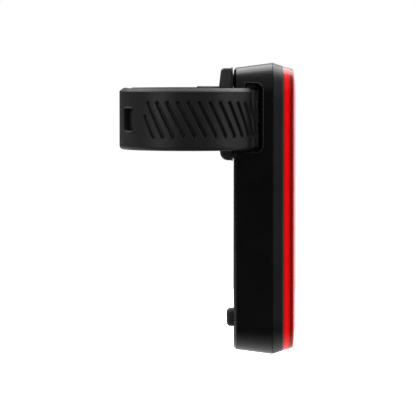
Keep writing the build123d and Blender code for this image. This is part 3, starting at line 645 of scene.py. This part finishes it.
def mix_node(tree, kind, first, second, factor, blend="MIX"):
    """Mix of two numbers or two colours by a factor, each of them a socket or plain; gives its output."""
    node = tree.nodes.new("ShaderNodeMix")
    node.data_type = kind
    node.blend_type = blend
    for label, value in (("Factor", factor), ("A", first), ("B", second)):
        set_input(tree, node.inputs[label], value)
    return node.outputs["Result"]


def range_node(tree, value, limits, ends=(0.0, 1.0), kind="SMOOTHSTEP"):
    """A socket's value carried from between two limits to between two ends, and held beyond them."""
    node = tree.nodes.new("ShaderNodeMapRange")
    node.interpolation_type = kind
    for label, number in zip(("From Min", "From Max", "To Min", "To Max"), (*limits, *ends)):
        node.inputs[label].default_value = number
    tree.links.new(value, node.inputs["Value"])
    return node.outputs["Result"]


def place_parts(tree, kind):
    """The x, y and z of a texture coordinate."""
    place = tree.nodes.new("ShaderNodeTexCoord")
    parts = tree.nodes.new("ShaderNodeSeparateXYZ")
    tree.links.new(place.outputs[kind], parts.inputs[0])
    return parts.outputs


def band_colours(tree, bands):
    """Colour that changes along the object's x: straight from each place's colour to the next one's."""
    first, last = bands[0][0], bands[-1][0]
    ramp = tree.nodes.new("ShaderNodeValToRGB")
    share = range_node(tree, place_parts(tree, "Object")["X"], (first, last), kind="LINEAR")
    tree.links.new(share, ramp.inputs["Fac"])
    stops = ramp.color_ramp.elements
    for x, _ in bands[1:-1]:
        stops.new((x - first) / (last - first))
    for stop, (_, colour) in zip(stops, bands):
        stop.color = (*colour, 1)
    return ramp.outputs["Color"]


# Moulded texture: how broad its parts are, per metre, how detailed, and how much of it is dust
GRAIN_SCALE = 3000.0
GRAIN_DETAIL = 2.0
BLOTCH_SCALE = 120.0
BLOTCH_DETAIL = 3.0
DUST_SCALE = 900.0
DUST_SIZE = 0.09
DUST_PATCH = 0.55


def moulded_skin_group():
    """Fine moulded texture from object places: a small grain, a broad unevenness called blotch, and specks
    of dust where the blotch is high."""
    group = bpy.data.node_groups.new("moulded_skin", "ShaderNodeTree")
    for label, scale in (("Grain Scale", GRAIN_SCALE), ("Blotch Scale", BLOTCH_SCALE)):
        group.interface.new_socket(label, in_out="INPUT", socket_type="NodeSocketFloat").default_value = scale
    for label in ("Grain", "Blotch", "Dust"):
        group.interface.new_socket(label, in_out="OUTPUT", socket_type="NodeSocketFloat")
    start = group.nodes.new("NodeGroupInput")
    end = group.nodes.new("NodeGroupOutput")
    place = group.nodes.new("ShaderNodeTexCoord")
    grain = group.nodes.new("ShaderNodeTexNoise")
    grain.inputs["Detail"].default_value = GRAIN_DETAIL
    blotch = group.nodes.new("ShaderNodeTexNoise")
    blotch.inputs["Detail"].default_value = BLOTCH_DETAIL
    dust = group.nodes.new("ShaderNodeTexVoronoi")
    dust.inputs["Scale"].default_value = DUST_SCALE
    for node in (grain, blotch, dust):
        group.links.new(place.outputs["Object"], node.inputs["Vector"])
    group.links.new(start.outputs["Grain Scale"], grain.inputs["Scale"])
    group.links.new(start.outputs["Blotch Scale"], blotch.inputs["Scale"])
    near = math_node(group, "LESS_THAN", dust.outputs["Distance"], DUST_SIZE)
    patch = math_node(group, "GREATER_THAN", blotch.outputs["Fac"], DUST_PATCH)
    group.links.new(grain.outputs["Fac"], end.inputs["Grain"])
    group.links.new(blotch.outputs["Fac"], end.inputs["Blotch"])
    group.links.new(math_node(group, "MULTIPLY", near, patch), end.inputs["Dust"])
    return group


def new_material(name, grain_scale):
    """Material with its shader and the shared moulded texture at its own grain."""
    material = bpy.data.materials.new(name)
    material.use_nodes = True
    tree = material.node_tree
    skin = tree.nodes.new("ShaderNodeGroup")
    skin.node_tree = SKIN
    skin.inputs["Grain Scale"].default_value = grain_scale
    return material, tree, tree.nodes["Principled BSDF"], skin.outputs


def finish_material(tree, shader, skin, tint, glow, rough, relief_height, relief_strength):
    """Colour, which may light up by itself, roughness between two values, and the grain's relief."""
    tree.links.new(tint, shader.inputs["Base Color"])
    if glow:
        tree.links.new(tint, shader.inputs["Emission Color"])
        shader.inputs["Emission Strength"].default_value = glow
    span = math_node(tree, "MULTIPLY_ADD", skin["Blotch"], rough[1] - rough[0], rough[0])
    tree.links.new(span, shader.inputs["Roughness"])
    relief = tree.nodes.new("ShaderNodeBump")
    relief.inputs["Strength"].default_value = relief_strength
    relief.inputs["Distance"].default_value = relief_height
    tree.links.new(skin["Grain"], relief.inputs["Height"])
    tree.links.new(relief.outputs["Normal"], shader.inputs["Normal"])


def moulded_material(name, dark, light, rough, grain, dust=None, metallic=0.0, painted_light=None, painted_light_tint=None,
                     glow=0.0):
    """Moulded surface: colour between dark and light, roughness between two values, and a grain of a scale
    and a height. Dust is the colour of its specks. A band along x, where a paler colour fades in between
    two places, is a painted highlight, and a tint that the piece's own attribute brings in is painted light."""
    material, tree, shader, skin = new_material(name, grain[0])
    shader.inputs["Metallic"].default_value = metallic
    tint = mix_node(tree, "RGBA", dark, light, skin["Blotch"])
    if dust:
        tint = mix_node(tree, "RGBA", tint, dust, skin["Dust"])
    # Painted highlight: a paler band added along x
    if painted_light:
        first, last, colour = painted_light
        paler = band_colours(tree, ((first, (0, 0, 0)), (last, colour)))
        tint = mix_node(tree, "RGBA", tint, paler, 1.0, "ADD")
    # Painted light: a pale tint brought in where the piece's attribute marks it
    if painted_light_tint:
        mark = tree.nodes.new("ShaderNodeAttribute")
        mark.attribute_name = PAINTED_LIGHT_NAME
        tint = mix_node(tree, "RGBA", tint, painted_light_tint, mark.outputs["Fac"], "ADD")
    finish_material(tree, shader, skin, tint, glow, rough, grain[1], 1.0)
    return material


# Clear plastic
CLEAR_IOR = 1.49
CLOUDY = (0.8, 0.8, 0.8)
RIPPLE_SCALE = 260.0
RIPPLE_HEIGHT = 0.01 * MM
RIPPLE_STRENGTH = 0.3


def clear_material(name, roughness, colour=None, bands=None, transmission=1.0, coat=1.0, glow=0.0):
    """Clear or tinted plastic, a little cloudy, with a faint ripple. Bands change its colour along x."""
    material, tree, shader, skin = new_material(name, RIPPLE_SCALE)
    shader.inputs["Transmission Weight"].default_value = transmission
    shader.inputs["IOR"].default_value = CLEAR_IOR
    shader.inputs["Coat Weight"].default_value = coat
    clean = band_colours(tree, bands) if bands else colour
    tint = mix_node(tree, "RGBA", clean, CLOUDY, skin["Blotch"], "MULTIPLY")
    rough = (0.5 * roughness, 1.5 * roughness)
    finish_material(tree, shader, skin, tint, glow, rough, RIPPLE_HEIGHT, RIPPLE_STRENGTH)
    return material


# Red of the lens along x, with light and shade painted in as bands: a dark seam at the bezel, a bright band,
# a dark line where the step is seen edge-on, and a brighter front edge
LENS_BANDS = (
    (35.8 * MM, (0.12, 0.004, 0.005)),
    (36.1 * MM, (0.6, 0.004, 0.004)),
    (36.95 * MM, (0.88, 0.003, 0.003)),
    (37.75 * MM, (0.62, 0.003, 0.003)),
    (38.1 * MM, (0.42, 0.003, 0.004)),
    (38.35 * MM, (0.1, 0.006, 0.007)),
    (39.1 * MM, (0.12, 0.01, 0.011)),
    (39.3 * MM, (0.75, 0.02, 0.022)),
    (39.65 * MM, (0.5, 0.006, 0.008)),
    (40.4 * MM, (0.4, 0.004, 0.005)),
)
# Front edge of the bezel, where a painted highlight makes its corner paler
BEZEL_PAINTED_HIGHLIGHT = (35.3 * MM, 35.7 * MM, (0.035, 0.034, 0.036))


def dress(node, material):
    """Give a node that keeps its CAD shape its material."""
    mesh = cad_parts[node].data
    if not mesh.materials:
        mesh.materials.append(material)
    for index in range(len(mesh.materials)):
        mesh.materials[index] = material


def dress_rubber_and_rims():
    """Rubber pieces on the lamp's back and the slot's rims, with their materials."""
    rim = moulded_material("rim_black", (0.006, 0.0064, 0.0075), (0.009, 0.0095, 0.011), (0.26, 0.34),
                           (5200, 0.003 * MM))
    rubber = moulded_material("button_rubber", (0.022, 0.0225, 0.025), (0.032, 0.033, 0.036), (0.6, 0.74),
                              (4200, 0.01 * MM), (0.07, 0.07, 0.07))
    pad = moulded_material("pad_rubber", (0.048, 0.049, 0.054), (0.066, 0.067, 0.073), (0.5, 0.64),
                           (3800, 0.014 * MM), (0.1, 0.1, 0.1))
    make_slot_rims(rim)
    make_saddle_pad(pad)
    make_power_button(rubber)
    make_port_cover(rubber)
    make_cover_anchor(rubber)


def dress_case():
    """Materials of the case, the lens and the saddle plate, with their screws, inserts, seal and socket."""
    black = moulded_material("satin_black", (0.0012, 0.0014, 0.002), (0.0028, 0.003, 0.004), (0.22, 0.32),
                             (5200, 0.003 * MM), (0.02, 0.02, 0.02))
    bezel = moulded_material("bezel_black", (0.004, 0.0045, 0.0055), (0.007, 0.0075, 0.009), (0.34, 0.46),
                             (5200, 0.004 * MM), (0.03, 0.03, 0.03), painted_light=BEZEL_PAINTED_HIGHLIGHT)
    plate = moulded_material("plate_black", (0.02, 0.02, 0.021), (0.03, 0.03, 0.031), (0.42, 0.55),
                             (3600, 0.008 * MM))
    steel = moulded_material("screw_steel", (0.5, 0.5, 0.5), (0.62, 0.61, 0.6), (0.2, 0.42),
                             (2400, 0.004 * MM), metallic=1.0)
    brass = moulded_material("insert_brass", (0.6, 0.45, 0.18), (0.72, 0.56, 0.26), (0.25, 0.45),
                             (2400, 0.004 * MM), metallic=1.0)
    gasket = moulded_material("gasket_black", (0.015, 0.015, 0.015), (0.03, 0.03, 0.03), (0.5, 0.7),
                              (2800, 0.006 * MM))
    # The lens's glow is painted light: it stands in for light coming through the red plastic, not a lit lamp
    red = clear_material("lens_red", 0.16, bands=LENS_BANDS, transmission=0.5, coat=0.15, glow=0.52)
    for node, material in {
        "rear_housing": black, "front_bezel": bezel, "housing_gasket": gasket, "lens": red,
        "case_screws": steel, "threaded_inserts": brass, "saddle_plate": plate, "plate_screws": steel,
        "usb_socket": steel,
    }.items():
        dress(node, material)


def dress_inside():
    """Materials of the board and what sits on it, the light's optics, the battery and the button's stem."""
    # The tray's glow is painted light, so that it shows through the lens as if lit
    white = moulded_material("tray_white", (0.78, 0.78, 0.78), (0.86, 0.86, 0.85), (0.3, 0.45),
                             (1800, 0.004 * MM), glow=0.35)
    board = moulded_material("board_green", (0.012, 0.1, 0.04), (0.03, 0.17, 0.07), (0.3, 0.5),
                             (900, 0.01 * MM))
    chips = moulded_material("chip_black", (0.02, 0.02, 0.02), (0.05, 0.05, 0.05), (0.4, 0.6),
                             (2600, 0.006 * MM))
    light = moulded_material("led_face", (0.8, 0.72, 0.4), (0.9, 0.85, 0.6), (0.2, 0.35),
                             (1200, 0.004 * MM), glow=1.5)
    foil = moulded_material("cell_wrap", (0.1, 0.16, 0.2), (0.18, 0.24, 0.28), (0.3, 0.5), (700, 0.03 * MM))
    foam = moulded_material("foam_grey", (0.09, 0.09, 0.09), (0.16, 0.16, 0.16), (0.8, 0.95),
                            (1800, 0.08 * MM))
    lead = moulded_material("lead_skin", (0.4, 0.02, 0.02), (0.55, 0.05, 0.04), (0.4, 0.55),
                            (1600, 0.006 * MM))
    stem = moulded_material("stem_grey", (0.25, 0.25, 0.26), (0.35, 0.35, 0.36), (0.4, 0.55),
                            (2400, 0.006 * MM))
    clear = clear_material("guide_clear", 0.08, colour=(0.95, 0.95, 0.95))
    for node, material in {
        "led_board": board, "leds": light, "reflector_tray": white, "light_guide": clear,
        "battery_cell": foil, "battery_foam": foam, "battery_leads": lead, "board_components": chips,
        "tact_switch": chips, "button_stem": stem,
    }.items():
        dress(node, material)


# The photograph's view: its scale, and the place that its middle looks at
PHOTO_SIZE = 416
MM_PER_PIXEL = 0.3487
VIEW_MIDDLE_X = 9.91 * MM
VIEW_MIDDLE_Z = -31.33 * MM
CAMERA_DISTANCE = 1.0
CAMERA_ELEVATION = 3.0
CAMERA_CLIP = 0.05
SENSOR = 36.0


def add_camera():
    """Camera on the near side, a little above level, with a long lens, framed as the photograph is."""
    camera = bpy.data.objects.new("camera", bpy.data.cameras.new("camera"))
    bpy.context.scene.collection.objects.link(camera)
    frame_width = PHOTO_SIZE * MM_PER_PIXEL * MM
    camera.data.sensor_width = SENSOR
    camera.data.lens = SENSOR * CAMERA_DISTANCE / frame_width
    camera.data.clip_start = CAMERA_CLIP
    tilt = np.radians(CAMERA_ELEVATION)
    height = VIEW_MIDDLE_Z + CAMERA_DISTANCE * np.sin(tilt)
    camera.location = (VIEW_MIDDLE_X, -CAMERA_DISTANCE * np.cos(tilt), height)
    camera.rotation_euler = (QUARTER - tilt, 0, 0)
    bpy.context.scene.camera = camera
    bpy.context.scene.view_settings.view_transform = "Standard"


# Soft lights, all aimed at the lamp: place, width, height and power
SOFT_LIGHTS = {
    "top_back_soft": ((0.01, 0.4, 0.54), 1.3, 0.5, 6.2),
    "left_soft": ((-0.67, -0.6, 0.15), 0.26, 0.8, 2.2),
    "right_soft": ((0.8, -0.42, 0.15), 0.26, 0.8, 1.6),
    "front_fill": ((0.22, -0.9, 0.12), 0.15, 0.3, 0.2),
}
LIGHT_TARGET = (10 * MM, 0, -31 * MM)

# The room: its least light, what the ceiling and the bright side add, and between which places each fades in
ROOM_LIGHT = 0.03
CEILING_LIGHT = 0.22
CEILING_FADE = (0.35, 0.75)
SIDE_LIGHT = 0.85
SIDE_FADE_X = (-0.25, 0.15)
SIDE_FADE_Y = (-0.3, 0.3)
WHITE = (1, 1, 1)

# The floor: its reach and level, and how its shade in other rays fades along y
FLOOR_REACH = 0.6
FLOOR_LEVEL = -0.108
FLOOR_ROUGHNESS = 0.9
FLOOR_PALE = 0.9
FLOOR_DARK = 0.05
FLOOR_FADE = (-0.045, 0.005)
FLOOR_GLOW = 0.8


def add_area(name, place, width, height, power):
    """Rectangular soft light at a place, aimed at the lamp."""
    light = bpy.data.lights.new(name, "AREA")
    light.shape = "RECTANGLE"
    light.size = width
    light.size_y = height
    light.energy = power
    lamp = bpy.data.objects.new(name, light)
    bpy.context.scene.collection.objects.link(lamp)
    lamp.location = place
    aim = np.array(LIGHT_TARGET) - np.array(place)
    aim = aim / np.linalg.norm(aim)
    pitch = np.arccos(-aim[2])
    heading = np.arctan2(aim[1], aim[0]) - QUARTER
    lamp.rotation_euler = (pitch, 0, heading)


def add_world():
    """White to the camera and through clear pieces; a dark room with one bright side to all else."""
    world = bpy.data.worlds.new("studio")
    bpy.context.scene.world = world
    world.use_nodes = True
    tree = world.node_tree
    back = tree.nodes["Background"]
    path = tree.nodes.new("ShaderNodeLightPath")
    parts = place_parts(tree, "Generated")
    bright_side = math_node(tree, "MULTIPLY", range_node(tree, parts["X"], SIDE_FADE_X),
                            range_node(tree, parts["Y"], SIDE_FADE_Y))
    ceiling = range_node(tree, parts["Z"], CEILING_FADE)
    room = math_node(tree, "MULTIPLY_ADD", ceiling, CEILING_LIGHT, ROOM_LIGHT)
    room = math_node(tree, "MULTIPLY_ADD", bright_side, SIDE_LIGHT, room)
    seen = math_node(tree, "MAXIMUM", path.outputs["Is Camera Ray"], path.outputs["Is Transmission Ray"])
    tree.links.new(mix_node(tree, "FLOAT", room, 1.0, seen), back.inputs["Strength"])
    back.inputs["Color"].default_value = (*WHITE, 1)


def floor_material():
    """Pale matt floor, white to the camera; the light it throws back fades towards the front."""
    material = bpy.data.materials.new("floor_pale")
    material.use_nodes = True
    tree = material.node_tree
    shader = tree.nodes["Principled BSDF"]
    shader.inputs["Roughness"].default_value = FLOOR_ROUGHNESS
    shader.inputs["Emission Color"].default_value = (*WHITE, 1)
    seen = tree.nodes.new("ShaderNodeLightPath").outputs["Is Camera Ray"]
    fade = range_node(tree, place_parts(tree, "Object")["Y"], FLOOR_FADE, (FLOOR_DARK, FLOOR_PALE))
    tree.links.new(mix_node(tree, "FLOAT", fade, FLOOR_PALE, seen), shader.inputs["Base Color"])
    tree.links.new(math_node(tree, "MULTIPLY", seen, FLOOR_GLOW), shader.inputs["Emission Strength"])
    return material


def add_floor():
    """Level square under the lamp."""
    corners = [(x * FLOOR_REACH, y * FLOOR_REACH, FLOOR_LEVEL) for x, y in CORNER_SIGNS]
    mesh = bpy.data.meshes.new("floor")
    mesh.from_pydata(corners, [], [(0, 1, 2, 3)])
    floor = bpy.data.objects.new("floor", mesh)
    bpy.context.scene.collection.objects.link(floor)
    mesh.materials.append(floor_material())


SKIN = moulded_skin_group()
# The strap's pale tint on its outer face inside the slot is painted light
strap_rubber = moulded_material("strap_rubber", (0.01, 0.0105, 0.012), (0.017, 0.018, 0.02), (0.44, 0.56),
                                (4200, 0.011 * MM), (0.05, 0.05, 0.05), painted_light_tint=(0.7, 0.71, 0.74))
make_near_strap(strap_rubber)
make_far_strap(strap_rubber)
dress_rubber_and_rims()
dress_case()
dress_inside()
add_camera()
for light_name, light_values in SOFT_LIGHTS.items():
    add_area(light_name, *light_values)
add_world()
add_floor()
